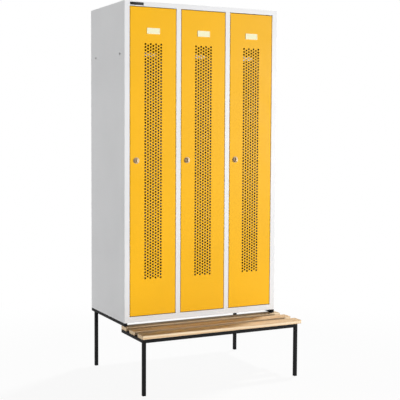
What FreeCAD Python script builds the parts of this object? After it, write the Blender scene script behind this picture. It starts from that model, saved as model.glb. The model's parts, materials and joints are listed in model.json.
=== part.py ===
import FreeCAD, Part
import math
import os
import re

# Locker with three perforated doors on a tube base, with a slatted bench in front.
# Millimetres, +Z up, front towards -Y, origin on the floor under the middle of the overall box.

COMPARTMENTS = 3
SLAT_NAMES = ["front_slat", "middle_slat", "rear_slat"]
SAME_LENGTH = 0.01
SAME_DIRECTION = 1e-6
UPWARDS = FreeCAD.Rotation()
BACKWARDS = FreeCAD.Rotation(FreeCAD.Vector(1, 0, 0), -90)
RIGHTWARDS = FreeCAD.Rotation(FreeCAD.Vector(0, 1, 0), 90)

# Driving sizes
SIZES = {
    # cabinet
    "cabinet_width": 930,
    "cabinet_depth": 502,
    "cabinet_height": 1705,
    "base_height": 330,
    "sheet": 1.2,
    "overcut": 1,
    # front frame
    "stile_width": 30,
    "mullion_width": 27,
    "frame_depth": 30,
    "top_rail_height": 26,
    "bottom_rail_height": 31,
    "stop_lip": 8,
    "corner_round": 2.5,
    "panel_edge_round": 0.8,
    # doors and hinges
    "door_gap": 3,
    "door_depth": 18,
    "fold_round": 1.8,
    "stop_gap": 1,
    "pin_inset": 10,
    "pin_setback": 6,
    "pin_radius": 3,
    "pin_fit": 0.05,
    "pin_tail": 5,
    "collar_ledge": 1.4,
    "collar_room": 0.6,
    "seat_gap": 0.3,
    "lug_width": 22,
    "lug_depth": 13,
    "lug_height": 8,
    # perforated strip
    "hole_columns": 7,
    "hole_side": 10,
    "column_pitch": 15.2,
    "row_pitch": 16,
    "strip_top_margin": 186,
    "strip_bottom_margin": 196,
    "strip_edge": 4,
    # label plate
    "label_width": 74,
    "label_height": 31,
    "label_thickness": 2.4,
    "label_rim": 2.5,
    "label_recess": 1,
    "label_drop": 123,
    # turn lock
    "lock_inset": 36,
    "lock_rise": 833,
    "rosette_radius": 17,
    "rosette_thickness": 3,
    "rosette_round": 1.2,
    "spindle_radius": 5,
    "spindle_fit": 0.06,
    "lock_hole_side": 15,
    "knob_radius": 13,
    "knob_thickness": 6,
    "knob_round": 1.5,
    "knob_gap": 0.3,
    "grip_width": 7,
    "grip_depth": 9,
    "eye_radius": 2.6,
    "cam_clearance": 2,
    "cam_width": 16,
    "cam_thickness": 3,
    "cam_engage": 7,
    "cam_screw_radius": 5,
    "cam_screw_height": 2.5,
    # plate on the top rail
    "badge_width": 77,
    "badge_height": 15,
    "badge_thickness": 1.5,
    "badge_drop": 13.5,
    # linking holes in the side panels
    "link_hole_radius": 6.5,
    "link_front": 63,
    "link_back": 78,
    "link_drop": 274,
    # inside each compartment
    "shelf_drop": 264,
    "shelf_lip": 20,
    "shelf_setback": 2,
    "clothes_rail_drop": 70,
    "clothes_rail_height": 25,
    "clothes_rail_thickness": 10,
    "hook_width": 14,
    "hook_wall": 4,
    "hook_fit": 0.3,
    "hook_shank": 36,
    "hook_reach": 28,
    "hook_tip": 16,
    # base frame
    "tube": 18,
    "tube_wall": 1.5,
    "tube_round": 1.5,
    "cap_thickness": 3,
    "cap_plug": 9,
    "cap_fit": 0.1,
    "rear_leg_inset": 52,
    # bench slats
    "bench_reach": 252,
    "slat_width": 70,
    "slat_thickness": 20,
    "slat_under": 42,
    "slat_past_right": 25,
    "slat_round": 4,
    "slat_end_round": 1.5,
    # fasteners
    "bolt_radius": 4,
    "bolt_fit": 0.2,
    "bolt_head_radius": 7,
    "bolt_head_height": 5,
    "nut_height": 6,
    "press_fit": 0.02,
    "front_bolt_setback": 20,
    "rear_bolt_inset": 102,
    "screw_radius": 2.5,
    "screw_fit": 0.05,
    "screw_head_radius": 5,
    "screw_head_height": 3,
    "screw_bite": 12,
}

# Places worked out from the driving sizes
PLACES = {
    "left_x": "-(cabinet_width + slat_past_right) / 2",
    "right_x": "left_x + cabinet_width",
    "bench_y": "-(bench_reach + cabinet_depth) / 2",
    "front_y": "bench_y + bench_reach",
    "back_y": "front_y + cabinet_depth",
    "frame_back_y": "front_y + frame_depth",
    "inside_back_y": "back_y - sheet",
    "top_z": "base_height + cabinet_height",
    "inside_bottom_z": "base_height + sheet",
    "inside_top_z": "top_z - sheet",
    "opening_bottom_z": "base_height + bottom_rail_height",
    "opening_top_z": "top_z - top_rail_height",
    "opening_width": "(cabinet_width - 2 * stile_width - %d * mullion_width) / %d"
                     % (COMPARTMENTS - 1, COMPARTMENTS),
    "opening_pitch": "opening_width + mullion_width",
    "door_width": "opening_width - 2 * door_gap",
    "door_bottom_z": "opening_bottom_z + door_gap",
    "door_top_z": "opening_top_z - door_gap",
    "door_height": "door_top_z - door_bottom_z",
    "strip_width": "hole_columns * column_pitch",
    "strip_height": "door_height - strip_top_margin - strip_bottom_margin + 2 * strip_edge",
    "strip_bottom_z": "door_bottom_z + strip_bottom_margin - strip_edge",
    "lock_z": "door_bottom_z + lock_rise",
    "knob_face_y": "front_y - rosette_thickness - knob_gap - knob_thickness",
    "cam_front_y": "frame_back_y + cam_clearance",
    "cam_reach": "lock_inset + door_gap + cam_engage",
    "cam_back_y": "cam_front_y + cam_thickness",
    "shelf_z": "top_z - shelf_drop",
    "clothes_rail_top_z": "shelf_z - clothes_rail_drop",
    "clothes_rail_y": "(frame_back_y + inside_back_y) / 2",
    "base_rail_z": "base_height - tube",
    "slat_bottom_z": "base_rail_z - slat_thickness",
    "bench_rail_z": "slat_bottom_z - tube",
    "slat_back_y": "front_y + slat_under",
    "slat_pitch": "(bench_reach + slat_under - slat_width) / %d" % (len(SLAT_NAMES) - 1),
    "slat_length": "cabinet_width + slat_past_right",
    "rear_leg_y": "back_y - rear_leg_inset - tube / 2",
    "collar_radius": "pin_radius + collar_ledge",
    "collar_height": "door_gap + sheet - seat_gap",
    "ring_depth": "clothes_rail_thickness + 2 * (hook_fit + hook_wall)",
    "ring_height": "clothes_rail_height + 2 * (hook_fit + hook_wall)",
    "ring_bottom_z": "clothes_rail_top_z - clothes_rail_height - hook_fit - hook_wall",
    "hook_bottom_z": "ring_bottom_z - hook_shank",
}

doc = FreeCAD.newDocument("locker_with_bench")
nodes = []


def formula(text):
    """Name the sheet of every size and place in a formula."""
    def qualified(match):
        word = match.group(0)
        if word in SIZES:
            return "Sizes." + word
        if word in PLACES:
            return "Places." + word
        return word
    return re.sub(r"[a-z][a-z_]*", qualified, str(text))


def fill_sheet(name, cells):
    """Write one named cell for each entry."""
    sheet = doc.addObject("Spreadsheet::Sheet", name)
    for row, (alias, content) in enumerate(cells.items(), start=1):
        sheet.set("A%d" % row, alias.replace("_", " "))
        sheet.set("B%d" % row, content)
        sheet.setAlias("B%d" % row, alias)
    doc.recompute()
    return sheet


sizes = fill_sheet("Sizes", {name: str(size) for name, size in SIZES.items()})
place_cells = {name: "=" + formula(rule).replace("Places.", "") for name, rule in PLACES.items()}
places = fill_sheet("Places", place_cells)


def value(name):
    """The number in a named cell."""
    return float(getattr(sizes if name in SIZES else places, name))


def place_at(item, corner, rotation=UPWARDS):
    """Turn an object and bind its position to three formulas."""
    item.Placement = FreeCAD.Placement(FreeCAD.Vector(), rotation)
    for axis, text in zip("xyz", corner):
        item.setExpression("Placement.Base." + axis, formula(text))
    return item


def box(name, corner, size):
    """A block from its lowest corner, with its size along X, Y and Z."""
    item = doc.addObject("Part::Box", name)
    for side, text in zip(("Length", "Width", "Height"), size):
        item.setExpression(side, formula(text))
    return place_at(item, corner)


def cylinder(name, start, radius, length, rotation=UPWARDS):
    """A round bar from the centre of its first end."""
    item = doc.addObject("Part::Cylinder", name)
    item.setExpression("Radius", formula(radius))
    item.setExpression("Height", formula(length))
    return place_at(item, start, rotation)


def hexagon(name, start, radius, height):
    """A six-sided bar standing on its end."""
    item = doc.addObject("Part::Prism", name)
    item.Polygon = 6
    item.setExpression("Circumradius", formula(radius))
    item.setExpression("Height", formula(height))
    return place_at(item, start)


def fuse(name, pieces, refine=True):
    """One solid made of several that touch or overlap."""
    item = doc.addObject("Part::MultiFuse", name)
    item.Shapes = pieces
    item.Refine = refine
    return item


def group(name, pieces):
    """Separate solids that share one node."""
    item = doc.addObject("Part::Compound", name)
    item.Links = pieces
    return item


def cut(name, base, tools):
    """A solid with one or more tools taken out of it."""
    item = doc.addObject("Part::Cut", name)
    item.Base = base
    item.Tool = tools[0] if len(tools) == 1 else group(name + "_tools", tools)
    return item


def rounded(name, base, radius, wanted):
    """Round the straight edges that the wanted test picks by direction and midpoint."""
    doc.recompute()
    chosen = []
    for number, edge in enumerate(base.Shape.Edges, start=1):
        direction = edge.tangentAt(edge.FirstParameter)
        middle = edge.CenterOfMass
        if wanted(direction, middle):
            chosen.append((number, radius, radius))
    item = doc.addObject("Part::Fillet", name)
    item.Base = base
    item.Edges = chosen
    return item


def node(item, label):
    """Keep an object as a sub-part under its own name."""
    item.Label = label
    nodes.append(item)
    return item


def along(direction, axis):
    """True where an edge runs along one of the three axes."""
    return abs(abs(getattr(direction, axis)) - 1) < SAME_DIRECTION


def near(first, second):
    """True where two lengths are the same."""
    return abs(first - second) < SAME_LENGTH


def opening_x(number):
    """The left edge of a door opening."""
    return "(left_x + stile_width + %d * opening_pitch)" % number


def inner_left_x(number):
    """The left wall of a compartment."""
    if number == 0:
        return "(left_x + sheet)"
    return "(%s - mullion_width / 2 + sheet / 2)" % opening_x(number)


def inner_right_x(number):
    """The right wall of a compartment."""
    if number == COMPARTMENTS - 1:
        return "(right_x - sheet)"
    return "(%s - mullion_width / 2 - sheet / 2)" % opening_x(number + 1)


def span(low, high):
    """The distance between two formulas."""
    return "%s - (%s)" % (high, low)


# Fasteners between the cabinet, the slats and the base
def side_centres():
    """The middle of the left and right tubes."""
    return {"left": "left_x + tube / 2", "right": "right_x - tube / 2"}


def slat_front_y(number):
    """The front edge of a slat, counted from the front."""
    return "(bench_y + %d * slat_pitch)" % number


bolt_rows = {
    "front": ("front_y + front_bolt_setback", "bench_rail_z"),
    "rear": ("back_y - rear_bolt_inset", "base_rail_z"),
}
bolt_solids = []
bolt_holes = {}
for row_name, (bolt_y, seat_z) in bolt_rows.items():
    row_holes = []
    for side, bolt_x in side_centres().items():
        tag = "%s_%s_bolt" % (row_name, side)
        shank_top = "inside_bottom_z + nut_height"
        head = hexagon(tag + "_head", (bolt_x, bolt_y, seat_z + " - bolt_head_height"),
                       "bolt_head_radius", "bolt_head_height")
        shank = cylinder(tag + "_shank", (bolt_x, bolt_y, seat_z), "bolt_radius", span(seat_z, shank_top))
        nut_blank = hexagon(tag + "_nut_blank", (bolt_x, bolt_y, "inside_bottom_z"),
                            "bolt_head_radius", "nut_height")
        thread = cylinder(tag + "_thread", (bolt_x, bolt_y, "inside_bottom_z - overcut"),
                          "bolt_radius + press_fit", "nut_height + 2 * overcut")
        bolt_solids.append(fuse(tag, [head, shank]))
        bolt_solids.append(cut(tag + "_nut", nut_blank, [thread]))
        row_holes.append(cylinder(tag + "_hole", (bolt_x, bolt_y, seat_z + " - overcut"),
                                  "bolt_radius + bolt_fit", span(seat_z, "inside_bottom_z + 2 * overcut")))
    bolt_holes[row_name] = group(row_name + "_bolt_holes", row_holes)
node(group("bolts", bolt_solids), "frame_bolts")

screw_solids = []
screw_holes = {}
for slat in range(len(SLAT_NAMES) - 1):
    slat_holes = []
    for side, screw_x in side_centres().items():
        tag = "slat_%d_%s_screw" % (slat + 1, side)
        screw_y = slat_front_y(slat) + " + slat_width / 2"
        head = cylinder(tag + "_head", (screw_x, screw_y, "bench_rail_z - screw_head_height"),
                        "screw_head_radius", "screw_head_height")
        shank = cylinder(tag + "_shank", (screw_x, screw_y, "bench_rail_z"),
                         "screw_radius", "tube + screw_bite")
        screw_solids.append(fuse(tag, [head, shank]))
        slat_holes.append(cylinder(tag + "_hole", (screw_x, screw_y, "bench_rail_z - overcut"),
                                   "screw_radius + screw_fit", "tube + screw_bite + overcut"))
    screw_holes[slat] = group("slat_%d_screw_holes" % (slat + 1), slat_holes)
node(group("screws", screw_solids), "slat_screws")


# Cabinet panels
def side_panel(label, panel_x):
    """A side sheet with its two linking holes."""
    blank = box(label + "_sheet", (panel_x, "frame_back_y", "inside_bottom_z"),
                ("sheet", span("frame_back_y", "back_y"), span("inside_bottom_z", "inside_top_z")))
    holes = []
    hole_rows = {"front": "front_y + link_front", "back": "back_y - link_back"}
    for row_name, hole_y in hole_rows.items():
        holes.append(cylinder("%s_%s_link_hole" % (label, row_name),
                              (panel_x + " - overcut", hole_y, "top_z - link_drop"),
                              "link_hole_radius", "sheet + 2 * overcut", RIGHTWARDS))
    node(cut(label + "_drilled", blank, holes), label)


side_panel("left_side_panel", "left_x")
side_panel("right_side_panel", "right_x - sheet")

node(box("back_sheet", ("left_x + sheet", "inside_back_y", "inside_bottom_z"),
         ("cabinet_width - 2 * sheet", "sheet", span("inside_bottom_z", "inside_top_z"))), "back_panel")

top_sheet = box("top_sheet", ("left_x", "front_y", "inside_top_z"),
                ("cabinet_width", "cabinet_depth", "sheet"))
node(rounded("top_rounded", top_sheet, value("panel_edge_round"),
             lambda direction, middle: near(middle.z, value("top_z"))), "top_panel")

floor_sheet = box("floor_sheet", ("left_x", "front_y", "base_height"),
                  ("cabinet_width", "cabinet_depth", "sheet"))
node(cut("floor_drilled", floor_sheet, [bolt_holes["front"], bolt_holes["rear"]]), "floor_panel")

for number in range(1, COMPARTMENTS):
    node(box("partition_sheet_%d" % number,
             (opening_x(number) + " - mullion_width / 2 - sheet / 2", "frame_back_y", "inside_bottom_z"),
             ("sheet", span("frame_back_y", "inside_back_y"), span("inside_bottom_z", "inside_top_z"))),
         "partition_%d" % number)


# Front frame of hollow profiles
def upright(label, upright_x, width, bottom_z, top_z):
    """A standing profile."""
    blank = box(label + "_outside", (upright_x, "front_y", bottom_z),
                (width, "frame_depth", span(bottom_z, top_z)))
    hollow = box(label + "_hollow", (upright_x + " + sheet", "front_y + sheet", bottom_z + " - overcut"),
                 (width + " - 2 * sheet", "frame_depth - 2 * sheet",
                  span(bottom_z, top_z + " + 2 * overcut")))
    return cut(label + "_profile", blank, [hollow])


def outer_corner(edge_x):
    """Pick the outer front edge of a stile."""
    return lambda direction, middle: (along(direction, "z") and near(middle.x, edge_x)
                                      and near(middle.y, value("front_y")))


left_profile = upright("left_stile", "left_x", "stile_width", "inside_bottom_z", "inside_top_z")
node(rounded("left_stile_rounded", left_profile, value("corner_round"), outer_corner(value("left_x"))),
     "left_stile")
right_profile = upright("right_stile", "right_x - stile_width", "stile_width",
                        "inside_bottom_z", "inside_top_z")
node(rounded("right_stile_rounded", right_profile, value("corner_round"), outer_corner(value("right_x"))),
     "right_stile")
for number in range(1, COMPARTMENTS):
    label = "mullion_%d" % number
    node(upright(label, opening_x(number) + " - mullion_width", "mullion_width",
                 "opening_bottom_z", "opening_top_z"), label)

# Strips that the doors close against, on the left of each opening
stops = []
for number in range(COMPARTMENTS):
    stops.append(box("door_stop_%d" % (number + 1),
                     (opening_x(number), "front_y + door_depth + stop_gap", "opening_bottom_z"),
                     ("stop_lip", "sheet", span("opening_bottom_z", "opening_top_z"))))
node(group("stops", stops), "door_stops")


def hinge_x(number):
    """The hinge axis of a door, near its right edge."""
    return "(%s + opening_width - door_gap - pin_inset)" % opening_x(number)


HINGE_Y = "(front_y + pin_setback)"


def cross_rail(label, bottom_z, top_z, flange_z):
    """A lying profile between the stiles, drilled for the hinge pins."""
    length = "cabinet_width - 2 * stile_width"
    blank = box(label + "_outside", ("left_x + stile_width", "front_y", bottom_z),
                (length, "frame_depth", span(bottom_z, top_z)))
    hollow = box(label + "_hollow",
                 ("left_x + stile_width - overcut", "front_y + sheet", bottom_z + " + sheet"),
                 (length + " + 2 * overcut", "frame_depth - 2 * sheet",
                  span(bottom_z, top_z) + " - 2 * sheet"))
    pin_holes = []
    for number in range(COMPARTMENTS):
        pin_holes.append(cylinder("%s_pin_hole_%d" % (label, number + 1),
                                  (hinge_x(number), HINGE_Y, flange_z + " - overcut"),
                                  "pin_radius + press_fit", "sheet + 2 * overcut"))
    node(cut(label + "_folded", blank, [hollow] + pin_holes), label)


cross_rail("top_rail", "opening_top_z", "inside_top_z", "opening_top_z")
cross_rail("bottom_rail", "inside_bottom_z", "opening_bottom_z", "opening_bottom_z - sheet")

node(box("badge_blank", (opening_x(0) + " + door_gap", "front_y - badge_thickness",
                         "top_z - badge_drop - badge_height / 2"),
         ("badge_width", "badge_thickness", "badge_height")), "badge_plate")

# Hinge pins, each with a collar that carries the door's lug
pins = []
pin_length = "pin_tail + sheet + door_gap + sheet + lug_height - overcut"
for number in range(COMPARTMENTS):
    pin_x = hinge_x(number)
    rows = {
        "lower": ("opening_bottom_z - sheet - pin_tail", "opening_bottom_z"),
        "upper": ("door_top_z - sheet - lug_height + overcut", "opening_top_z - collar_height"),
    }
    for row_name, (pin_z, collar_z) in rows.items():
        tag = "%s_pin_%d" % (row_name, number + 1)
        stem = cylinder(tag + "_stem", (pin_x, HINGE_Y, pin_z), "pin_radius", pin_length)
        collar = cylinder(tag + "_collar", (pin_x, HINGE_Y, collar_z), "collar_radius", "collar_height")
        pins.append(fuse(tag, [stem, collar]))
node(group("pins", pins), "hinge_pins")


# Inside of each compartment
def hat_shelf(number):
    """A shelf with its front edge folded down."""
    left = inner_left_x(number)
    width = span(left, inner_right_x(number))
    front = "frame_back_y + shelf_setback"
    plate = box("shelf_plate_%d" % number, (left, front, "shelf_z - sheet"),
                (width, span(front, "inside_back_y"), "sheet"))
    lip = box("shelf_lip_%d" % number, (left, front, "shelf_z - shelf_lip"),
              (width, "sheet", "shelf_lip - sheet"))
    node(fuse("shelf_folded_%d" % number, [plate, lip]), "hat_shelf_%d" % (number + 1))


def clothes_rail(number):
    """A flat rail from wall to wall under the shelf."""
    left = inner_left_x(number)
    node(box("clothes_bar_%d" % number,
             (left, "clothes_rail_y - clothes_rail_thickness / 2",
              "clothes_rail_top_z - clothes_rail_height"),
             (span(left, inner_right_x(number)), "clothes_rail_thickness", "clothes_rail_height")),
         "clothes_rail_%d" % (number + 1))


def coat_hook(number):
    """A double hook whose ring slides along the clothes rail."""
    tag = "coat_hook_%d" % (number + 1)
    left = "((%s + %s) / 2 - hook_width / 2)" % (inner_left_x(number), inner_right_x(number))
    ring = box(tag + "_ring", (left, "clothes_rail_y - ring_depth / 2", "ring_bottom_z"),
               ("hook_width", "ring_depth", "ring_height"))
    slot = box(tag + "_slot",
               (left + " - overcut", "clothes_rail_y - ring_depth / 2 + hook_wall",
                "ring_bottom_z + hook_wall"),
               ("hook_width + 2 * overcut", "ring_depth - 2 * hook_wall", "ring_height - 2 * hook_wall"))
    shank = box(tag + "_shank", (left, "clothes_rail_y - hook_wall / 2", "hook_bottom_z"),
                ("hook_width", "hook_wall", "hook_shank"))
    bar = box(tag + "_bar", (left, "clothes_rail_y - hook_reach", "hook_bottom_z - hook_wall"),
              ("hook_width", "2 * hook_reach", "hook_wall"))
    front_tip = box(tag + "_front_tip", (left, "clothes_rail_y - hook_reach", "hook_bottom_z"),
                    ("hook_width", "hook_wall", "hook_tip"))
    back_tip = box(tag + "_back_tip", (left, "clothes_rail_y + hook_reach - hook_wall", "hook_bottom_z"),
                   ("hook_width", "hook_wall", "hook_tip"))
    solid = fuse(tag + "_solid", [ring, shank, bar, front_tip, back_tip])
    node(cut(tag + "_slotted", solid, [slot]), tag)


for number in range(COMPARTMENTS):
    hat_shelf(number)
    clothes_rail(number)
    coat_hook(number)


# Doors
def rectangle(left, bottom, right, top, y):
    """A closed outline standing in the plane of the door."""
    corners = [FreeCAD.Vector(left, y, bottom), FreeCAD.Vector(right, y, bottom),
               FreeCAD.Vector(right, y, top), FreeCAD.Vector(left, y, top)]
    return Part.makePolygon(corners + corners[:1])


def square(centre_x, centre_z, side, y):
    """A square outline about its centre."""
    half = side / 2
    return rectangle(centre_x - half, centre_z - half, centre_x + half, centre_z + half, y)


def column_holes(column, centre_x):
    """One column of square holes, each other column half a step higher."""
    room = value("strip_height") - 2 * value("strip_edge") - value("hole_side")
    rows = math.floor(room / value("row_pitch")) + 1
    first_z = value("strip_edge") + value("hole_side") / 2
    staggered = column % 2
    outlines = []
    for row in range(rows - staggered):
        centre_z = first_z + (row + staggered / 2) * value("row_pitch")
        outlines.append(square(centre_x, centre_z, value("hole_side"), 0))
    return outlines


def strip_shape():
    """The perforated strip of a door, from its lower left corner, as one band per column of holes."""
    pitch = value("column_pitch")
    thickness = FreeCAD.Vector(0, value("sheet"), 0)
    bands = []
    for column in range(int(value("hole_columns"))):
        outline = rectangle(column * pitch, 0, (column + 1) * pitch, value("strip_height"), 0)
        holes = column_holes(column, (column + 0.5) * pitch)
        face = Part.makeFace([outline] + holes, "Part::FaceMakerBullseye")
        bands.append(face.extrude(thickness))
    return bands[0].multiFuse(bands[1:])


STRIP = strip_shape()


def door_panel(number):
    """A door folded into a shallow tray, with its perforated strip, notched round its hinge pins."""
    tag = "door_%d" % (number + 1)
    left = opening_x(number) + " + door_gap"
    blank = box(tag + "_outside", (left, "front_y", "door_bottom_z"),
                ("door_width", "door_depth", "door_height"))
    folded = rounded(tag + "_folded", blank, value("fold_round"),
                     lambda direction, middle: near(middle.y, value("front_y")))
    hollow = box(tag + "_hollow", (left + " + sheet", "front_y + sheet", "door_bottom_z + sheet"),
                 ("door_width - 2 * sheet", "door_depth", "door_height - 2 * sheet"))
    tray = cut(tag + "_tray", folded, [hollow])

    face_y = "front_y - overcut"
    through = "sheet + 2 * overcut"
    lock_hole = box(tag + "_lock_hole", (left + " + lock_inset - lock_hole_side / 2", face_y,
                                         "lock_z - lock_hole_side / 2"),
                    ("lock_hole_side", through, "lock_hole_side"))
    strip_x = left + " + (door_width - strip_width) / 2"
    window = box(tag + "_window", (strip_x, face_y, "strip_bottom_z"),
                 ("strip_width", through, "strip_height"))
    openings = [lock_hole, window]
    notch_side = "(collar_radius + collar_room)"
    for side, wall_z in (("bottom", "door_bottom_z"), ("top", "door_top_z - sheet")):
        openings.append(box("%s_%s_notch" % (tag, side),
                            (hinge_x(number) + " - " + notch_side, "front_y + sheet", wall_z + " - overcut"),
                            ("2 * " + notch_side, "pin_setback - sheet + " + notch_side,
                             "sheet + 2 * overcut")))
    opened = cut(tag + "_opened", tray, openings)

    strip = doc.addObject("Part::Feature", tag + "_strip")
    strip.Shape = STRIP
    place_at(strip, (strip_x, "front_y", "strip_bottom_z"))
    node(fuse(tag + "_complete", [opened, strip], refine=False), tag + "_panel")


def hinge_lugs(number):
    """Two blocks behind the door's ends that turn on the hinge pins."""
    tag = "door_%d_lug" % (number + 1)
    lug_x = "%s + opening_width - door_gap - sheet - lug_width" % opening_x(number)
    lugs = []
    rows = {"lower": "door_bottom_z + sheet", "upper": "door_top_z - sheet - lug_height"}
    for row_name, lug_z in rows.items():
        block = box("%s_%s_block" % (tag, row_name), (lug_x, "front_y + sheet", lug_z),
                    ("lug_width", "lug_depth", "lug_height"))
        bore = cylinder("%s_%s_bore" % (tag, row_name), (hinge_x(number), HINGE_Y, lug_z + " - overcut"),
                        "pin_radius + pin_fit", "lug_height + 2 * overcut")
        lugs.append(cut("%s_%s" % (tag, row_name), block, [bore]))
    node(group(tag + "s", lugs), "door_%d_hinge_lugs" % (number + 1))


def label_plate(number):
    """A raised plate with a shallow recess for a card."""
    tag = "door_%d_label" % (number + 1)
    left = opening_x(number) + " + opening_width / 2 - label_width / 2"
    bottom = "door_top_z - label_drop - label_height / 2"
    blank = box(tag + "_blank", (left, "front_y - label_thickness", bottom),
                ("label_width", "label_thickness", "label_height"))
    recess = box(tag + "_recess",
                 (left + " + label_rim", "front_y - label_thickness - overcut", bottom + " + label_rim"),
                 ("label_width - 2 * label_rim", "label_recess + overcut", "label_height - 2 * label_rim"))
    node(cut(tag + "_cut", blank, [recess]), tag + "_plate")


def rim_at(depth_y):
    """Pick the circle of a disc that lies at one depth."""
    return lambda direction, middle: near(middle.y, depth_y) and not along(direction, "y")


def turn_lock(number):
    """A rosette on the door, a knob with its spindle, and a cam behind the frame."""
    tag = "door_%d_lock" % (number + 1)
    axis_x = opening_x(number) + " + door_gap + lock_inset"
    plate = cylinder(tag + "_plate", (axis_x, "front_y - rosette_thickness", "lock_z"),
                     "rosette_radius", "rosette_thickness", BACKWARDS)
    dished = rounded(tag + "_dished", plate, value("rosette_round"),
                     rim_at(value("front_y") - value("rosette_thickness")))
    bore = cylinder(tag + "_bore", (axis_x, "front_y - rosette_thickness - overcut", "lock_z"),
                    "spindle_radius + spindle_fit", "rosette_thickness + 2 * overcut", BACKWARDS)
    node(cut(tag + "_bored", dished, [bore]), tag + "_rosette")

    disc = cylinder(tag + "_disc", (axis_x, "knob_face_y", "lock_z"), "knob_radius", "knob_thickness",
                    BACKWARDS)
    soft_disc = rounded(tag + "_soft_disc", disc, value("knob_round"), rim_at(value("knob_face_y")))
    grip = box(tag + "_grip", (axis_x + " - grip_width / 2", "knob_face_y - grip_depth",
                               "lock_z - knob_radius + knob_round"),
               ("grip_width", "grip_depth", "2 * (knob_radius - knob_round)"))
    eye = cylinder(tag + "_eye", (axis_x + " - grip_width / 2 - overcut", "knob_face_y - grip_depth / 2",
                                  "lock_z - knob_radius / 2"),
                   "eye_radius", "grip_width + 2 * overcut", RIGHTWARDS)
    spindle = cylinder(tag + "_spindle", (axis_x, "knob_face_y + knob_thickness", "lock_z"), "spindle_radius",
                       span("knob_face_y + knob_thickness", "cam_front_y"), BACKWARDS)
    solid = fuse(tag + "_solid", [soft_disc, grip, spindle])
    node(cut(tag + "_turned", solid, [eye]), tag + "_knob")

    cam = box(tag + "_cam_plate", (axis_x + " - cam_width / 2", "cam_front_y", "lock_z - cam_width / 2"),
              ("cam_width", "cam_thickness", "cam_reach + cam_width / 2"))
    screw = cylinder(tag + "_cam_screw", (axis_x, "cam_back_y", "lock_z"), "cam_screw_radius",
                     "cam_screw_height", BACKWARDS)
    node(group(tag + "_cam_set", [cam, screw]), tag + "_cam")


for number in range(COMPARTMENTS):
    door_panel(number)
    hinge_lugs(number)
    label_plate(number)
    turn_lock(number)


# Tube base
AXIS_ORDER = {"x": 0, "y": 1, "z": 2}


def square_tube(name, axis, corner, length):
    """A hollow square tube from its lowest corner."""
    run = AXIS_ORDER[axis]
    outside_size = ["tube"] * 3
    outside_size[run] = length
    inside_corner = [text + " + tube_wall" for text in corner]
    inside_corner[run] = corner[run] + " - overcut"
    inside_size = ["tube - 2 * tube_wall"] * 3
    inside_size[run] = length + " + 2 * overcut"
    outside = box(name + "_outside", corner, outside_size)
    soft_outside = rounded(name + "_soft", outside, value("tube_round"),
                           lambda direction, middle: along(direction, axis))
    inside = box(name + "_inside", inside_corner, inside_size)
    return cut(name + "_tube", soft_outside, [inside])


def end_cap(name, axis, corner, plug_side):
    """A cap over a tube end, with a plug that reaches into the tube."""
    run = AXIS_ORDER[axis]
    plate_size = ["tube"] * 3
    plate_size[run] = "cap_thickness"
    plug_corner = [text + " + tube_wall + cap_fit" for text in corner]
    plug_corner[run] = corner[run] + (" + cap_thickness" if plug_side > 0 else " - cap_plug")
    plug_size = ["tube - 2 * tube_wall - 2 * cap_fit"] * 3
    plug_size[run] = "cap_plug"
    plate = box(name + "_plate", corner, plate_size)
    doc.recompute()
    outer = getattr(plate.Shape.BoundBox, axis.upper() + ("Min" if plug_side > 0 else "Max"))
    soft_plate = rounded(name + "_soft", plate, value("tube_round"),
                         lambda direction, middle: (along(direction, axis)
                                                    or near(getattr(middle, axis), outer)))
    plug = box(name + "_plug", plug_corner, plug_size)
    return fuse(name, [soft_plate, plug])


TUBE_LEFT_X = {"left": "left_x", "right": "right_x - tube"}
foot_caps = []
rail_caps = []
for side, tube_x in TUBE_LEFT_X.items():
    leg_tops = {"front": ("bench_y", "bench_rail_z"), "rear": ("rear_leg_y", "base_rail_z")}
    for leg, (leg_y, leg_top) in leg_tops.items():
        label = "%s_%s_leg" % (leg, side)
        node(square_tube(label, "z", (tube_x, leg_y, "cap_thickness"), span("cap_thickness", leg_top)), label)
        foot_caps.append(end_cap(label + "_cap", "z", (tube_x, leg_y, "0"), 1))

    label = side + "_base_rail"
    base_rail = square_tube(label, "y", (tube_x, "front_y + cap_thickness", "base_rail_z"),
                            "cabinet_depth - 2 * cap_thickness")
    node(cut(label + "_drilled", base_rail, [bolt_holes["front"], bolt_holes["rear"]]), label)
    rail_caps.append(end_cap(label + "_front_cap", "y", (tube_x, "front_y", "base_rail_z"), 1))
    rail_caps.append(end_cap(label + "_back_cap", "y", (tube_x, "back_y - cap_thickness", "base_rail_z"), -1))

    label = side + "_bench_rail"
    bench_rail = square_tube(label, "y", (tube_x, "bench_y + cap_thickness", "bench_rail_z"),
                             span("bench_y", "slat_back_y - 2 * cap_thickness"))
    rail_holes = [bolt_holes["front"]] + list(screw_holes.values())
    node(cut(label + "_drilled", bench_rail, rail_holes), label)
    rail_caps.append(end_cap(label + "_front_cap", "y", (tube_x, "bench_y", "bench_rail_z"), 1))
    back_cap_y = "slat_back_y - cap_thickness"
    rail_caps.append(end_cap(label + "_back_cap", "y", (tube_x, back_cap_y, "bench_rail_z"), -1))
node(group("feet", foot_caps), "foot_caps")
node(group("plugs", rail_caps), "rail_end_caps")

BETWEEN_TUBES = "cabinet_width - 2 * tube"
node(square_tube("front_bench_rail", "x", ("left_x + tube", "bench_y", "bench_rail_z"), BETWEEN_TUBES),
     "front_bench_rail")
node(square_tube("rear_cross_rail", "x", ("left_x + tube", "rear_leg_y", "base_rail_z"), BETWEEN_TUBES),
     "rear_cross_rail")

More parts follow.
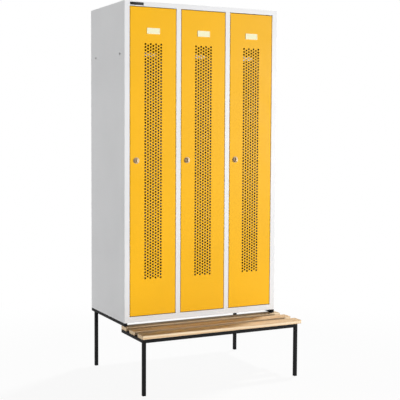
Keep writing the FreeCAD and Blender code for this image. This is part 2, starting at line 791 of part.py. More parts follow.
# Bench slats, counted from the front
for slat, label in enumerate(SLAT_NAMES):
    plank = box(label + "_plank", ("left_x", slat_front_y(slat), "slat_bottom_z"),
                ("slat_length", "slat_width", "slat_thickness"))
    soft_plank = rounded(label + "_soft", plank, value("slat_round"),
                         lambda direction, middle: along(direction, "x"))
    soft_ends = rounded(label + "_soft_ends", soft_plank, value("slat_end_round"),
                        lambda direction, middle: not along(direction, "x"))
    holes = screw_holes.get(slat, bolt_holes["front"])
    node(cut(label + "_drilled", soft_ends, [holes]), label)

doc.recompute()
for item in doc.Objects:
    if "Invalid" in item.State or "Error" in item.State:
        raise RuntimeError("failed feature: %s %s" % (item.Label, item.State))
for item in nodes:
    if item.Shape.isNull() or not item.Shape.isValid():
        raise RuntimeError("bad shape: " + item.Label)

os.makedirs("parts", exist_ok=True)
for item in nodes:
    item.Shape.exportStep("parts/%s.step" % item.Label)
print("%d sub-parts written" % len(nodes))
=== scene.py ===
import json
import math

import bmesh
import bpy
from mathutils import Matrix, Vector


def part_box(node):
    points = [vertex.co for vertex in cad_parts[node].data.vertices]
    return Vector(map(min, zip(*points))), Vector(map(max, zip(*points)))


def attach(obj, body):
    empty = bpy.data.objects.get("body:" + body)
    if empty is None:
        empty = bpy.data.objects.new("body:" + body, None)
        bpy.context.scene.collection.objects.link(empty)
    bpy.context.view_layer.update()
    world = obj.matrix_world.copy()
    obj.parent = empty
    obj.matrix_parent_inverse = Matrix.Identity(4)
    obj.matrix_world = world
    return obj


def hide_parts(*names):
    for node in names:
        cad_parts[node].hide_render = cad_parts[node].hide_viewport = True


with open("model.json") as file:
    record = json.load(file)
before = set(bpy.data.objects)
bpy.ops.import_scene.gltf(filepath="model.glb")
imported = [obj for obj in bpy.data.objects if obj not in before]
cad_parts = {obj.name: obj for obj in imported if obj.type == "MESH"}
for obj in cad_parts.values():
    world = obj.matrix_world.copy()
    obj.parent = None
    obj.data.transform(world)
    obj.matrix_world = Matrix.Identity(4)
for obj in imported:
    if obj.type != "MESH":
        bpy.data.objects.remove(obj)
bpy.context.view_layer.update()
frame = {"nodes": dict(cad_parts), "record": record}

# Locker with three perforated doors on a tube base, with a slatted bench in front.
# Metres, +Z up, front towards -Y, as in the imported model.

MM = 0.001
DOORS = (1, 2, 3)
FULL_TURN = 2 * math.pi
QUARTER_TURN = math.pi / 2
ALONG_X, ALONG_Y = 0, 1
FRONTWARDS = Vector((0, -1, 0))
WHITE = (1, 1, 1)

# Lengths and angles that tell one edge from another
NEAR = 0.1 * MM
TOUCHING = 0.01 * MM
DOUBLED = 0.001 * MM
STRAIGHT = 0.999
FLAT_FOLD = math.radians(1)
SMOOTH_FOLD = math.radians(35)
SHARP_FOLD = math.radians(60)

# Sockets of the node that mixes colours
COLOUR_FACTOR, COLOUR_FIRST, COLOUR_SECOND, COLOUR_OUT = 0, 6, 7, 2


# Shader nodes
def add_node(tree, kind, inputs, **settings):
    """A node with its settings, whose inputs are values or links."""
    node = tree.nodes.new(kind)
    for setting, value in settings.items():
        setattr(node, setting, value)
    for socket, value in inputs.items():
        if isinstance(value, bpy.types.NodeSocket):
            tree.links.new(value, node.inputs[socket])
        else:
            node.inputs[socket].default_value = value
    return node


# The part of its range that most of a noise lies in
NOISE_LOW, NOISE_HIGH = 0.3, 0.7


class Finish:
    """A surface finish: a principled shader with patterns laid on object coordinates."""

    def __init__(self, name, **sockets):
        self.material = bpy.data.materials.new(name)
        self.material.use_nodes = True
        self.tree = self.material.node_tree
        self.shader = self.tree.nodes["Principled BSDF"]
        self.place = add_node(self.tree, "ShaderNodeTexCoord", {}).outputs["Object"]
        self.normal = None
        for socket, value in sockets.items():
            self.shader.inputs[socket.replace("_", " ")].default_value = value

    def moved(self, scale=(1, 1, 1), location=(0, 0, 0)):
        """Object coordinates scaled and moved."""
        inputs = {"Vector": self.place, "Scale": scale, "Location": location}
        return add_node(self.tree, "ShaderNodeMapping", inputs).outputs["Vector"]

    def noise(self, scale, detail=2, distortion=0, place=None):
        """Cloudy noise with so many clouds to the metre."""
        inputs = {"Vector": place or self.place, "Scale": scale, "Detail": detail, "Distortion": distortion}
        return add_node(self.tree, "ShaderNodeTexNoise", inputs).outputs["Fac"]

    def crystals(self, scale):
        """Distance from the middle of the nearest crystal, with so many crystals to the metre."""
        inputs = {"Vector": self.place, "Scale": scale}
        return add_node(self.tree, "ShaderNodeTexVoronoi", inputs).outputs["Distance"]

    def rings(self, scale, direction, distortion, place, detail=2, detail_scale=1):
        """Rings about an axis."""
        inputs = {"Vector": place, "Scale": scale, "Distortion": distortion, "Detail": detail,
                  "Detail Scale": detail_scale}
        node = add_node(self.tree, "ShaderNodeTexWave", inputs, wave_type="RINGS",
                        rings_direction=direction, wave_profile="SIN")
        return node.outputs["Fac"]

    def ranged(self, value, low, high, new_low, new_high):
        """A pattern's range spread over another range, and kept inside it."""
        inputs = {"Value": value, "From Min": low, "From Max": high, "To Min": new_low, "To Max": new_high}
        return add_node(self.tree, "ShaderNodeMapRange", inputs, clamp=True).outputs["Result"]

    def ramp(self, value, *stops):
        """Colours along a pattern's range."""
        node = add_node(self.tree, "ShaderNodeValToRGB", {"Fac": value})
        while len(node.color_ramp.elements) < len(stops):
            node.color_ramp.elements.new(1)
        for element, (position, colour) in zip(node.color_ramp.elements, stops):
            element.position = position
            element.color = (*colour, 1)
        return node.outputs["Color"]

    def multiplied(self, factor, first, second):
        """One colour darkened by another, as far as the factor says."""
        inputs = {COLOUR_FACTOR: factor, COLOUR_FIRST: first, COLOUR_SECOND: second}
        node = add_node(self.tree, "ShaderNodeMix", inputs, data_type="RGBA", blend_type="MULTIPLY")
        return node.outputs[COLOUR_OUT]

    def lead(self, socket, value):
        """Lead a pattern to the shader."""
        self.tree.links.new(value, self.shader.inputs[socket])

    def roughen(self, noise, middle, spread):
        """Let a noise sway the roughness about its middle."""
        swayed = self.ranged(noise, NOISE_LOW, NOISE_HIGH, middle - spread, middle + spread)
        self.lead("Roughness", swayed)

    def emboss(self, height, strength, distance):
        """Raise the surface by a pattern, over what is raised already."""
        inputs = {"Height": height, "Strength": strength, "Distance": distance}
        if self.normal:
            inputs["Normal"] = self.normal
        self.normal = add_node(self.tree, "ShaderNodeBump", inputs).outputs["Normal"]
        self.lead("Normal", self.normal)


def shaded(colour, level):
    """A colour made darker or lighter."""
    return tuple(min(part * level, 1) for part in colour)


# Paint: patterns to the metre, shades and depths
PAINT_CLOUDS = 2.2
PAINT_DARKEST, PAINT_PALEST = 0.965, 1.02
PAINT_GRAINS = 1400
GRAIN_LOW, GRAIN_HIGH = 0.25, 0.75
GRAIN_SHADE = (0.94, 0.94, 0.94)
GLOSS_PATCHES = 7
PAINT_SPREAD = 0.05
SHEET_WAVES, SHEET_WAVE_STRENGTH, SHEET_WAVE_DEPTH = 3.1, 0.12, 1.5 * MM
ORANGE_PEEL, ORANGE_PEEL_DEPTH = 520, 0.12 * MM


def powder_coat(name, colour, roughness, peel, gloss_level):
    """Sprayed and baked paint: orange peel, uneven gloss and the slight waves of thin sheet."""
    finish = Finish(name, Specular_IOR_Level=gloss_level)
    clouds = finish.noise(PAINT_CLOUDS, detail=3)
    tone = finish.ramp(clouds, (NOISE_LOW, shaded(colour, PAINT_DARKEST)),
                       (NOISE_HIGH, shaded(colour, PAINT_PALEST)))
    grains = finish.noise(PAINT_GRAINS, detail=1)
    fleck = finish.ramp(grains, (GRAIN_LOW, GRAIN_SHADE), (GRAIN_HIGH, WHITE))
    finish.lead("Base Color", finish.multiplied(1, tone, fleck))
    finish.roughen(finish.noise(GLOSS_PATCHES, detail=4), roughness, PAINT_SPREAD)
    finish.emboss(finish.noise(SHEET_WAVES, detail=1), SHEET_WAVE_STRENGTH, SHEET_WAVE_DEPTH)
    finish.emboss(finish.noise(ORANGE_PEEL), peel, ORANGE_PEEL_DEPTH)
    return finish.material


# Wood: year rings, streaks and fibres, each drawn out along the slat
RINGS_DRAWN_OUT = (0.06, 1, 1)
FIBRES_DRAWN_OUT = (0.025, 1, 1)
YEAR_RINGS, RING_WANDER, RING_WANDER_SCALE = 26, 5.5, 0.9
WOOD_STREAKS, STREAK_WANDER, STREAK_SHARE = 70, 0.6, 0.75
WOOD_FIBRES, FIBRE_SHARE = 620, 0.6
FIBRE_LOW, FIBRE_HIGH = 0.32, 0.55
SPRING_WOOD = (0.08, (0.95, 0.79, 0.57))
SUMMER_WOOD = (0.6, (0.91, 0.72, 0.495))
AUTUMN_WOOD = (1, (0.79, 0.57, 0.355))
STREAK_SHADE = (0.86, 0.80, 0.72)
FIBRE_SHADE = (0.78, 0.70, 0.60)
WOOD_GLOSS = 0.1
PORE_ROUGHNESS, FIBRE_ROUGHNESS = 0.78, 0.6
RING_STRENGTH, RING_DEPTH = 0.1, 0.2 * MM
FIBRE_STRENGTH, FIBRE_DEPTH = 0.3, 0.1 * MM


def slat_wood(name, heart, seed):
    """Oiled light wood: year rings about a heart below the slat, fibres and pores along it."""
    finish = Finish(name, Specular_IOR_Level=WOOD_GLOSS)
    ring_place = finish.moved(scale=RINGS_DRAWN_OUT, location=(seed, -heart[0], -heart[1]))
    year = finish.rings(YEAR_RINGS, "X", RING_WANDER, ring_place, detail_scale=RING_WANDER_SCALE)
    fibre_place = finish.moved(scale=FIBRES_DRAWN_OUT, location=(seed * 3, seed, 0))
    fibre = finish.noise(WOOD_FIBRES, detail=5, place=fibre_place)
    streak = finish.noise(WOOD_STREAKS, detail=3, distortion=STREAK_WANDER, place=fibre_place)
    wood = finish.ramp(year, SPRING_WOOD, SUMMER_WOOD, AUTUMN_WOOD)
    band = finish.ramp(streak, (NOISE_LOW, STREAK_SHADE), (NOISE_HIGH, WHITE))
    thread = finish.ramp(fibre, (FIBRE_LOW, FIBRE_SHADE), (FIBRE_HIGH, WHITE))
    banded = finish.multiplied(STREAK_SHARE, wood, band)
    finish.lead("Base Color", finish.multiplied(FIBRE_SHARE, banded, thread))
    dulled = finish.ranged(fibre, NOISE_LOW, NOISE_HIGH, PORE_ROUGHNESS, FIBRE_ROUGHNESS)
    finish.lead("Roughness", dulled)
    finish.emboss(year, RING_STRENGTH, RING_DEPTH)
    finish.emboss(fibre, FIBRE_STRENGTH, FIBRE_DEPTH)
    return finish.material


# Nickel: rings of the lathe, about a lock each
LATHE_RINGS, LATHE_WANDER = 420, 0.4
LATHE_ROOM = 1
LATHE_SMOOTH, LATHE_ROUGH = 0.56, 0.66
LATHE_STRENGTH, LATHE_DEPTH = 0.12, 0.04 * MM
NICKEL_HAZE = 160
NICKEL_DARK, NICKEL_PALE = (0.43, 0.335, 0.215), (0.53, 0.42, 0.28)
NICKEL_METALLIC, NICKEL_GLOSS = 0.8, 0.2


def satin_nickel(name, centre, spacing):
    """Cast, blasted and nickel plated metal, with fine turned rings about each lock."""
    finish = Finish(name, Metallic=NICKEL_METALLIC, Specular_IOR_Level=NICKEL_GLOSS)
    reach = Vector((spacing / 2, LATHE_ROOM, LATHE_ROOM))
    wrapped = add_node(finish.tree, "ShaderNodeVectorMath",
                       {0: finish.moved(location=-centre), 1: reach, 2: -reach}, operation="WRAP")
    lathe = finish.rings(LATHE_RINGS, "Y", LATHE_WANDER, wrapped.outputs["Vector"])
    haze = finish.noise(NICKEL_HAZE, detail=3)
    finish.lead("Base Color", finish.ramp(haze, (NOISE_LOW, NICKEL_DARK), (NOISE_HIGH, NICKEL_PALE)))
    finish.lead("Roughness", finish.ranged(lathe, 0, 1, LATHE_SMOOTH, LATHE_ROUGH))
    finish.emboss(lathe, LATHE_STRENGTH, LATHE_DEPTH)
    return finish.material


# Zinc: crystals, and lines of the drawn steel below
ZINC_CRYSTALS, CRYSTAL_MIDDLE, CRYSTAL_RIM = 260, 0.1, 0.8
DRAWN_LINES, LINES_DRAWN_OUT = 900, (0.05, 1, 1)
LINE_STRENGTH, LINE_DEPTH = 0.15, 0.03 * MM
ZINC_SPREAD = 0.07


def zinc_plate(name, pale, dark, roughness):
    """Zinc plated steel with soft crystals and drawn lines."""
    finish = Finish(name, Metallic=1)
    crystal = finish.crystals(ZINC_CRYSTALS)
    drawn = finish.noise(DRAWN_LINES, place=finish.moved(scale=LINES_DRAWN_OUT))
    finish.lead("Base Color", finish.ramp(crystal, (CRYSTAL_MIDDLE, pale), (CRYSTAL_RIM, dark)))
    finish.roughen(drawn, roughness, ZINC_SPREAD)
    finish.emboss(drawn, LINE_STRENGTH, LINE_DEPTH)
    return finish.material


# Plastic: the mould's skin, and the flow of the melt
MOULD_SKIN, SKIN_DEPTH, SKIN_SPREAD = 1900, 0.05 * MM, 0.06
MELT_FLOW, FLOW_DARKEST, FLOW_PALEST = 28, 0.92, 1.04


def moulded_plastic(name, colour, roughness, texture, gloss_level):
    """Moulded plastic with a fine spark-eroded skin."""
    finish = Finish(name, Specular_IOR_Level=gloss_level)
    skin = finish.noise(MOULD_SKIN)
    flow = finish.noise(MELT_FLOW)
    finish.lead("Base Color", finish.ramp(flow, (NOISE_LOW, shaded(colour, FLOW_DARKEST)),
                                          (NOISE_HIGH, shaded(colour, FLOW_PALEST))))
    finish.roughen(skin, roughness, SKIN_SPREAD)
    finish.emboss(skin, texture, SKIN_DEPTH)
    return finish.material


# Card: pulp
CARD_PULP, PULP_WANDER = 700, 1.5
PULP_DARK, PULP_PALE = (0.25, (0.87, 0.845, 0.55)), (0.7, (0.94, 0.915, 0.62))
PULP_SMOOTH, PULP_ROUGH = 0.75, 0.9
PULP_STRENGTH, PULP_DEPTH = 0.2, 0.04 * MM


def card_paper(name):
    """Uncoated card with short fibres."""
    finish = Finish(name)
    pulp = finish.noise(CARD_PULP, detail=4, distortion=PULP_WANDER)
    finish.lead("Base Color", finish.ramp(pulp, PULP_DARK, PULP_PALE))
    finish.lead("Roughness", finish.ranged(pulp, NOISE_LOW, NOISE_HIGH, PULP_SMOOTH, PULP_ROUGH))
    finish.emboss(pulp, PULP_STRENGTH, PULP_DEPTH)
    return finish.material


# The locker's own finishes, and the hinge pins' steel darkened as painted shade
LIGHT_GREY = (0.80, 0.805, 0.815)
GOLDEN_YELLOW = (0.965, 0.508, 0.013)
BLACK = (0.006, 0.006, 0.0065)
PLATE_BLACK = (0.008, 0.008, 0.009)
CREAM = (0.90, 0.875, 0.58)
ZINC_PALE, ZINC_DARK = (0.58, 0.59, 0.60), (0.46, 0.47, 0.49)
# Hinge pins: steel painted dark as painted shade, so that the pins stay as dark as the shaded door gaps
# they sit in
SHADED_PIN_PALE, SHADED_PIN_DARK = (0.13, 0.13, 0.135), (0.09, 0.09, 0.095)

lock_low, lock_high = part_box("door_1_lock_rosette")
next_lock_low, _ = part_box("door_2_lock_rosette")
lock_middle = (lock_low + lock_high) / 2
lock_spacing = next_lock_low.x - lock_low.x

cabinet_paint = powder_coat("cabinet_paint", LIGHT_GREY, roughness=0.34, peel=0.18, gloss_level=0.2)
door_paint = powder_coat("door_paint", GOLDEN_YELLOW, roughness=0.34, peel=0.18, gloss_level=0.055)
frame_black = powder_coat("frame_black", BLACK, roughness=0.5, peel=0.25, gloss_level=0.06)
lock_nickel = satin_nickel("lock_nickel", lock_middle, lock_spacing)
bright_steel = zinc_plate("bright_steel", ZINC_PALE, ZINC_DARK, roughness=0.37)
# Painted shade: the hinge pins' steel is made dark to match the shade of the door gaps
shaded_pin_steel = zinc_plate("shaded_pin_steel", SHADED_PIN_PALE, SHADED_PIN_DARK, roughness=0.55)
label_white = moulded_plastic("label_white", CREAM, roughness=0.42, texture=0.12, gloss_level=0.5)
label_card = card_paper("label_card")
badge_black = moulded_plastic("badge_black", PLATE_BLACK, roughness=0.45, texture=0.15, gloss_level=0.1)
cap_plastic = moulded_plastic("cap_plastic", BLACK, roughness=0.5, texture=0.2, gloss_level=0.06)

# Each slat is sawn from another place in the log
SLAT_SEEDS = {"front_slat": 0.9, "middle_slat": 2.3, "rear_slat": 4.1}
HEART_SWAY = 18 * MM
HEART_DROP = 30 * MM
HEART_STEP = 8 * MM

# The hinge pins take the darkened steel, painted shade for the door gaps
own_finishes = {"hinge_pins": shaded_pin_steel}
for slat_name, seed in SLAT_SEEDS.items():
    slat_low, slat_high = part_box(slat_name)
    slat_middle = (slat_low + slat_high) / 2
    heart_y = slat_middle.y + HEART_SWAY * math.sin(seed * 2)
    heart_z = slat_low.z - HEART_DROP - HEART_STEP * seed
    own_finishes[slat_name] = slat_wood(slat_name + "_wood", (heart_y, heart_z), seed)

slot_finishes = {
    "cabinet_paint": cabinet_paint,
    "door_paint": door_paint,
    "frame_black": frame_black,
    "lock_nickel": lock_nickel,
    "label_white": label_white,
    "badge_black": badge_black,
    "cap_plastic": cap_plastic,
    "bright_steel": bright_steel,
}
for subpart in frame["record"]["subparts"]:
    node_name = subpart["node"]
    node_finish = own_finishes.get(node_name) or slot_finishes[subpart["material_slot"]]
    node_mesh = frame["nodes"][node_name].data
    node_mesh.materials.clear()
    node_mesh.materials.append(node_finish)


# Shapes of new pieces
def block(low, high):
    """A cube stretched between two corners."""
    shape = bmesh.new()
    bmesh.ops.create_cube(shape, size=1)
    bmesh.ops.scale(shape, vec=high - low, verts=shape.verts)
    bmesh.ops.translate(shape, vec=(low + high) / 2, verts=shape.verts)
    return shape


def merged_copy(node_name):
    """A node's own shape with its doubled corners and slivers merged."""
    shape = bmesh.new()
    shape.from_mesh(frame["nodes"][node_name].data)
    bmesh.ops.remove_doubles(shape, verts=shape.verts, dist=DOUBLED)
    bmesh.ops.dissolve_degenerate(shape, edges=shape.edges, dist=DOUBLED)
    return shape


def turned(profile, centre, steps):
    """A shape turned on a lathe about Y, from radii and depths."""
    shape = bmesh.new()
    corners = [shape.verts.new(centre + Vector((radius, depth, 0))) for radius, depth in profile]
    sides = [shape.edges.new(pair) for pair in zip(corners, corners[1:] + corners[:1])]
    bmesh.ops.spin(shape, geom=corners + sides, cent=centre, axis=(0, 1, 0), angle=FULL_TURN,
                   steps=steps, use_merge=True)
    bmesh.ops.remove_doubles(shape, verts=shape.verts, dist=DOUBLED)
    bmesh.ops.recalc_face_normals(shape, faces=shape.faces)
    return shape


def corners_of(geometry):
    """The corners among the results of an operator."""
    return [item for item in geometry if isinstance(item, bmesh.types.BMVert)]


def edges_along(shape, axis):
    """The edges that run along an axis."""
    found = []
    for edge in shape.edges:
        run = edge.verts[1].co - edge.verts[0].co
        if abs(run.normalized()[axis]) > STRAIGHT:
            found.append(edge)
    return found


def sharp_edges(edges):
    """The edges that fold sharply."""
    return [edge for edge in edges if edge.calc_face_angle(0) > SHARP_FOLD]


def front_face(shape):
    """The large face that looks to the front."""
    return max(shape.faces, key=lambda face: face.normal.dot(FRONTWARDS) * face.calc_area())


def round_off(shape, edges, radius, segments):
    """Round some edges."""
    bmesh.ops.bevel(shape, geom=edges, offset=radius, offset_type="OFFSET", affect="EDGES",
                    segments=segments, profile=0.5, material=-1, clamp_overlap=True)


def finished(name, shape, material, body, slot, *replaced):
    """Make a shape a piece that moves with a body."""
    mesh = bpy.data.meshes.new(name)
    shape.to_mesh(mesh)
    shape.free()
    mesh.shade_smooth()
    mesh.set_sharp_from_angle(angle=SMOOTH_FOLD)
    mesh.materials.append(material)
    piece = bpy.data.objects.new(name, mesh)
    bpy.context.scene.collection.objects.link(piece)
    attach(piece, body)
    if replaced:
        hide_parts(*replaced)


# Bare plate on the top rail
BADGE_CORNER = 2 * MM
BADGE_RIM = 0.5 * MM

badge_low, badge_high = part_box("badge_plate")
badge = block(badge_low, badge_high)
round_off(badge, edges_along(badge, ALONG_Y), BADGE_CORNER, segments=5)
round_off(badge, list(front_face(badge).edges), BADGE_RIM, segments=3)
finished("badge_blank", badge, badge_black, "carcass", "badge_black", "badge_plate")

# Caps on the legs and in the open rail ends
for cap_node in ("foot_caps", "rail_end_caps"):
    caps = merged_copy(cap_node)
    finished("moulded_" + cap_node, caps, cap_plastic, "carcass", "cap_plastic", cap_node)

# Label holders and their cards
LABEL_CORNER = 2.5 * MM
LABEL_RIM = 2.5 * MM
LABEL_LIP = 0.4 * MM
LABEL_RECESS = 1.0 * MM
CARD_THICKNESS = 0.4 * MM
CARD_MARGIN = 0.5 * MM
CARD_CORNER = 1 * MM


def label_holder(door):
    """A frame with round corners, and the card that lies in it."""
    node_name = "door_%d_label_plate" % door
    body = "door_%d" % door
    low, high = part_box(node_name)
    holder = block(low, high)
    round_off(holder, edges_along(holder, ALONG_Y), LABEL_CORNER, segments=5)
    face = front_face(holder)
    bmesh.ops.inset_individual(holder, faces=[face], thickness=LABEL_RIM, use_even_offset=True)
    pushed = bmesh.ops.extrude_face_region(holder, geom=[face])
    bmesh.ops.translate(holder, vec=-FRONTWARDS * LABEL_RECESS, verts=corners_of(pushed["geom"]))
    bmesh.ops.delete(holder, geom=[face], context="FACES")
    bmesh.ops.recalc_face_normals(holder, faces=holder.faces)
    lips = [edge for edge in sharp_edges(holder.edges)
            if all(abs(vert.co.y - low.y) < TOUCHING for vert in edge.verts)]
    round_off(holder, lips, LABEL_LIP, segments=2)
    finished("door_%d_label_holder" % door, holder, label_white, body, "label_white", node_name)

    inner = Vector((LABEL_RIM + CARD_MARGIN, 0, LABEL_RIM + CARD_MARGIN))
    card_back = low.y + LABEL_RECESS
    card_low = Vector((low.x, card_back - CARD_THICKNESS, low.z)) + inner
    card_high = Vector((high.x, card_back, high.z)) - inner
    card = block(card_low, card_high)
    round_off(card, edges_along(card, ALONG_Y), CARD_CORNER, segments=3)
    finished("door_%d_label_card" % door, card, label_card, body, "label_white")


# Lock rosettes: steps as millimetres in from the rim, and shares of the depth
ROSETTE_BORE = 5.06 * MM
ROSETTE_STEPS = ((0, 0), (0, 0.45), (0.5, 0.75), (1.4, 0.95), (2.4, 1), (3.3, 1), (3.8, 0.8))
ROSETTE_FACETS = 64


def lock_rosette(door):
    """A stepped rosette that stands on the door."""
    node_name = "door_%d_lock_rosette" % door
    low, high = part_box(node_name)
    centre = (low + high) / 2
    centre.y = high.y
    radius = (high.x - low.x) / 2
    depth = high.y - low.y
    steps = [(radius - inset * MM, -share * depth) for inset, share in ROSETTE_STEPS]
    _, last_depth = steps[-1]
    profile = [(ROSETTE_BORE, 0), *steps, (ROSETTE_BORE, last_depth)]
    rosette = turned(profile, centre, ROSETTE_FACETS)
    finished("door_%d_lock_plate" % door, rosette, lock_nickel, "door_%d" % door, "lock_nickel", node_name)


# Lock knobs: a dished face, steps round its rim in millimetres, flutes, and a wing with an eye in it
KNOB_THICKNESS = 6 * MM
KNOB_FACETS = 72
DISH_FLOOR, DISH_EDGE, DISH_DEPTH = 0.6, 0.68, 0.6 * MM
RIM_STEPS = ((1.6, 0), (0.5, 0.4), (0, 1.5))
KNOB_CHAMFER = 0.4 * MM
SPINDLE_RADIUS = 5 * MM
FLUTE_STEP, FLUTE_DEPTH = 3, 0.7 * MM
WING_HEIGHT = 9 * MM
WING_INSET = 1.5 * MM
WING_HALF = 3.2 * MM
WING_REACH = 4.4 * MM
WING_ROOT, WING_ROOT_FROM = 0.8 * MM, 1 * MM
WING_ROUND, WING_ROUND_TO = 0.7 * MM, 0.5 * MM
EYE_STANDS, EYE_DROP, EYE_RADIUS = 4.4 * MM, 6.2 * MM, 2.6 * MM
EYE_FACETS = 32


def lock_grip(door):
    """A fluted knob, with a wing that has an eye for a padlock."""
    node_name = "door_%d_lock_knob" % door
    rosette_low, rosette_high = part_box("door_%d_lock_rosette" % door)
    axis = (rosette_low + rosette_high) / 2
    axis.y = 0
    low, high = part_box(node_name)
    radius = (high.x - low.x) / 2
    face = low.y + WING_HEIGHT
    base = face + KNOB_THICKNESS
    dish = face + DISH_DEPTH
    rim = [(radius - inset * MM, face + setback * MM) for inset, setback in RIM_STEPS]
    profile = [(0, dish), (radius * DISH_FLOOR, dish), (radius * DISH_EDGE, face), *rim,
               (radius, base - KNOB_CHAMFER), (radius - KNOB_CHAMFER, base),
               (SPINDLE_RADIUS, base), (SPINDLE_RADIUS, high.y), (0, high.y)]
    knob = turned(profile, axis, KNOB_FACETS)
    for vert in knob.verts:
        outward = Vector((vert.co.x - axis.x, 0, vert.co.z - axis.z))
        if outward.length > radius - NEAR:
            step = round(math.atan2(outward.z, outward.x) / FULL_TURN * KNOB_FACETS)
            if step % FLUTE_STEP == 0:
                vert.co -= outward.normalized() * FLUTE_DEPTH

    wing_top = high.z - WING_INSET
    wing_bottom = low.z + WING_INSET
    eye = Vector((axis.x - WING_HALF, face - EYE_STANDS, axis.z - EYE_DROP))
    sideways = Matrix.Translation(eye) @ Matrix.Rotation(QUARTER_TURN, 4, "Y")
    hole = bmesh.ops.create_circle(knob, segments=EYE_FACETS, radius=EYE_RADIUS, matrix=sideways)
    outline = bmesh.ops.create_circle(knob, segments=EYE_FACETS, radius=WING_REACH, matrix=sideways)
    for vert in outline["verts"]:
        reach = (vert.co.z - eye.z) / WING_REACH
        if vert.co.z > eye.z + NEAR:
            vert.co.z = eye.z + reach * (wing_top - eye.z)
        elif vert.co.z < eye.z:
            vert.co.z = eye.z + reach * (eye.z - wing_bottom)
        if vert.co.y > eye.y + WING_ROOT_FROM:
            vert.co.y = face + WING_ROOT
    loops = list({edge for vert in hole["verts"] + outline["verts"] for edge in vert.link_edges})
    plate = bmesh.ops.bridge_loops(knob, edges=loops)
    grown = bmesh.ops.extrude_face_region(knob, geom=plate["faces"], use_keep_orig=True)
    bmesh.ops.translate(knob, vec=Vector((2 * WING_HALF, 0, 0)), verts=corners_of(grown["geom"]))
    bmesh.ops.recalc_face_normals(knob, faces=knob.faces)
    wing_edges = [edge for edge in sharp_edges(knob.edges)
                  if all(abs(abs(vert.co.x - axis.x) - WING_HALF) < TOUCHING
                         and vert.co.y < face + WING_ROUND_TO for vert in edge.verts)]
    round_off(knob, wing_edges, WING_ROUND, segments=3)
    finished("door_%d_lock_grip" % door, knob, lock_nickel, "lock_%d" % door, "lock_nickel", node_name)


# Coat hooks
HOOK_WALL = 4 * MM
HOOK_TIP_WIDTH = 1.2 * HOOK_WALL
HOOK_TIP_ROUND, HOOK_BEND, HOOK_THROAT, HOOK_EDGE = 5 * MM, 3 * MM, 2 * MM, 0.6 * MM


def coat_hook(door):
    """The sliding double hook, with its bends and tips rounded and its edges tumbled."""
    node_name = "coat_hook_%d" % door
    rail_low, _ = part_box("clothes_rail_%d" % door)
    hook = merged_copy(node_name)
    bmesh.ops.dissolve_limit(hook, angle_limit=FLAT_FOLD, verts=hook.verts, edges=hook.edges)

    tips = [edge for edge in sharp_edges(edges_along(hook, ALONG_Y))
            if edge.is_convex and edge.calc_length() < HOOK_TIP_WIDTH]
    round_off(hook, tips, HOOK_TIP_ROUND, segments=5)
    across = sharp_edges(edges_along(hook, ALONG_X))
    throats = [edge for edge in across
               if not edge.is_convex and edge.verts[0].co.z < rail_low.z - HOOK_WALL]
    top = max(vert.co.z for vert in hook.verts)
    bottom = min(vert.co.z for vert in hook.verts)
    bends = [edge for edge in across if edge.is_convex
             and min(top - edge.verts[0].co.z, edge.verts[0].co.z - bottom) < NEAR]
    round_off(hook, throats, HOOK_THROAT, segments=4)
    round_off(hook, bends, HOOK_BEND, segments=5)
    rims = [edge for edge in sharp_edges(hook.edges) if edge.is_convex]
    round_off(hook, rims, HOOK_EDGE, segments=2)
    finished("coat_hook_%d_bent" % door, hook, bright_steel, "hook_%d" % door, "bright_steel", node_name)


for door in DOORS:
    label_holder(door)
    lock_rosette(door)
    lock_grip(door)
    coat_hook(door)


# White studio, with a floor that keeps the locker's shadow
def seen_or_mirrored(tree):
    """One where a ray comes from the camera, a mirror or glass."""
    path = add_node(tree, "ShaderNodeLightPath", {})
    total = path.outputs["Is Camera Ray"]
    for ray in ("Is Glossy Ray", "Is Transmission Ray"):
        inputs = {0: total, 1: path.outputs[ray]}
        total = add_node(tree, "ShaderNodeMath", inputs, operation="ADD", use_clamp=True).outputs["Value"]
    return total


def chosen(tree, share, first, second, output):
    """Show the second shader by its share, and the first by the rest."""
    mix = add_node(tree, "ShaderNodeMixShader", {"Fac": share, 1: first, 2: second})
    tree.links.new(mix.outputs["Shader"], tree.nodes[output].inputs["Surface"])


AMBIENT = 0.03

world = bpy.data.worlds.new("studio")
bpy.context.scene.world = world
world.use_nodes = True
world_tree = world.node_tree
soft_sky = world_tree.nodes["Background"]
soft_sky.inputs["Color"].default_value = (*WHITE, 1)
soft_sky.inputs["Strength"].default_value = AMBIENT
white_wall = add_node(world_tree, "ShaderNodeBackground", {"Color": (*WHITE, 1), "Strength": 1})
chosen(world_tree, seen_or_mirrored(world_tree), soft_sky.outputs["Background"],
       white_wall.outputs["Background"], "World Output")

FLOOR_SIZE = 16
FLOOR_PARTS = 4
FLOOR_DROP = 0.2 * MM
FLOOR_GREY = (0.82, 0.82, 0.82)
FLOOR_ROUGHNESS = 0.9
FLOOR_NEAR, FLOOR_FAR = 0.9, 2.4
FLOOR_GLOW_NEAR, FLOOR_GLOW_FAR = 0.93, 1.0

floor_shape = bmesh.new()
bmesh.ops.create_grid(floor_shape, x_segments=FLOOR_PARTS, y_segments=FLOOR_PARTS, size=FLOOR_SIZE / 2)
floor_mesh = bpy.data.meshes.new("studio_floor")
floor_shape.to_mesh(floor_mesh)
floor_shape.free()
studio_floor = bpy.data.objects.new("studio_floor", floor_mesh)
studio_floor.location.z = -FLOOR_DROP
bpy.context.scene.collection.objects.link(studio_floor)

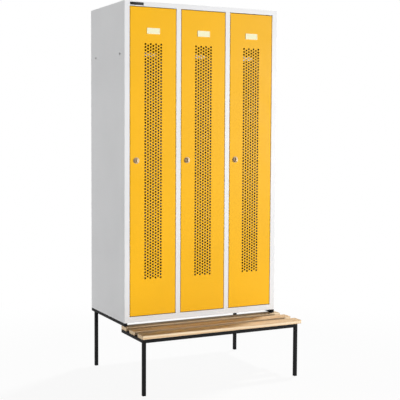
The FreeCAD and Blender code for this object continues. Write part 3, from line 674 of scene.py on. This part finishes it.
floor_paint = Finish("studio_floor", Base_Color=(*FLOOR_GREY, 1), Roughness=FLOOR_ROUGHNESS)
floor_tree = floor_paint.tree
floor_reach = add_node(floor_tree, "ShaderNodeVectorMath", {0: floor_paint.place}, operation="LENGTH")
floor_fade = add_node(floor_tree, "ShaderNodeMapRange",
                      {"Value": floor_reach.outputs["Value"], "From Min": FLOOR_NEAR, "From Max": FLOOR_FAR,
                       "To Min": FLOOR_GLOW_NEAR, "To Max": FLOOR_GLOW_FAR},
                      interpolation_type="SMOOTHSTEP")
glow_share = add_node(floor_tree, "ShaderNodeMath",
                      {0: seen_or_mirrored(floor_tree), 1: floor_fade.outputs["Result"]},
                      operation="MULTIPLY")
glow = add_node(floor_tree, "ShaderNodeEmission", {"Color": (*WHITE, 1), "Strength": 1})
chosen(floor_tree, glow_share.outputs["Value"], floor_paint.shader.outputs["BSDF"],
       glow.outputs["Emission"], "Material Output")
floor_mesh.materials.append(floor_paint.material)


# Lamps
def far_lamp(name, bearing, height, spread, strength):
    """A soft even lamp, far off: its bearing runs from the front towards the right, in degrees."""
    lamp = bpy.data.lights.new(name, "SUN")
    lamp.angle = math.radians(spread)
    lamp.energy = strength
    bearing, height = math.radians(bearing), math.radians(height)
    towards = Vector((math.sin(bearing) * math.cos(height), -math.cos(bearing) * math.cos(height),
                      math.sin(height)))
    holder = bpy.data.objects.new(name, lamp)
    holder.rotation_euler = towards.to_track_quat("Z", "Y").to_euler()
    bpy.context.scene.collection.objects.link(holder)


far_lamp("front_lamp", bearing=40, height=2, spread=8, strength=3.12)
far_lamp("left_lamp", bearing=-93, height=2, spread=10, strength=1.23)
far_lamp("rear_right_lamp", bearing=123, height=68, spread=5, strength=2.0)

# Camera at the photograph's place
CAMERA_PLACE = Vector((-2.3219, -4.6708, 1.3543))
CAMERA_YAW = math.radians(26.757)
CAMERA_PITCH = math.radians(3.624)
CAMERA_ROLL = math.radians(0.293)
FOCAL_PIXELS = 928.05
PICTURE_PIXELS = 400
SENSOR_WIDTH = 36
SHIFT_UP = -0.025

forward = Vector((math.sin(CAMERA_YAW) * math.cos(CAMERA_PITCH),
                  math.cos(CAMERA_YAW) * math.cos(CAMERA_PITCH), -math.sin(CAMERA_PITCH)))
level_right = Vector((math.cos(CAMERA_YAW), -math.sin(CAMERA_YAW), 0))
level_up = level_right.cross(forward)
right = level_right * math.cos(CAMERA_ROLL) + level_up * math.sin(CAMERA_ROLL)
up = level_up * math.cos(CAMERA_ROLL) - level_right * math.sin(CAMERA_ROLL)
lens = bpy.data.cameras.new("photo_camera")
lens.sensor_width = SENSOR_WIDTH
lens.lens = FOCAL_PIXELS * SENSOR_WIDTH / PICTURE_PIXELS
lens.shift_y = SHIFT_UP
camera = bpy.data.objects.new("photo_camera", lens)
camera.rotation_euler = Matrix((right, up, -forward)).transposed().to_euler()
camera.location = CAMERA_PLACE
bpy.context.scene.collection.objects.link(camera)
bpy.context.scene.camera = camera

bpy.context.scene.view_settings.view_transform = "Standard"
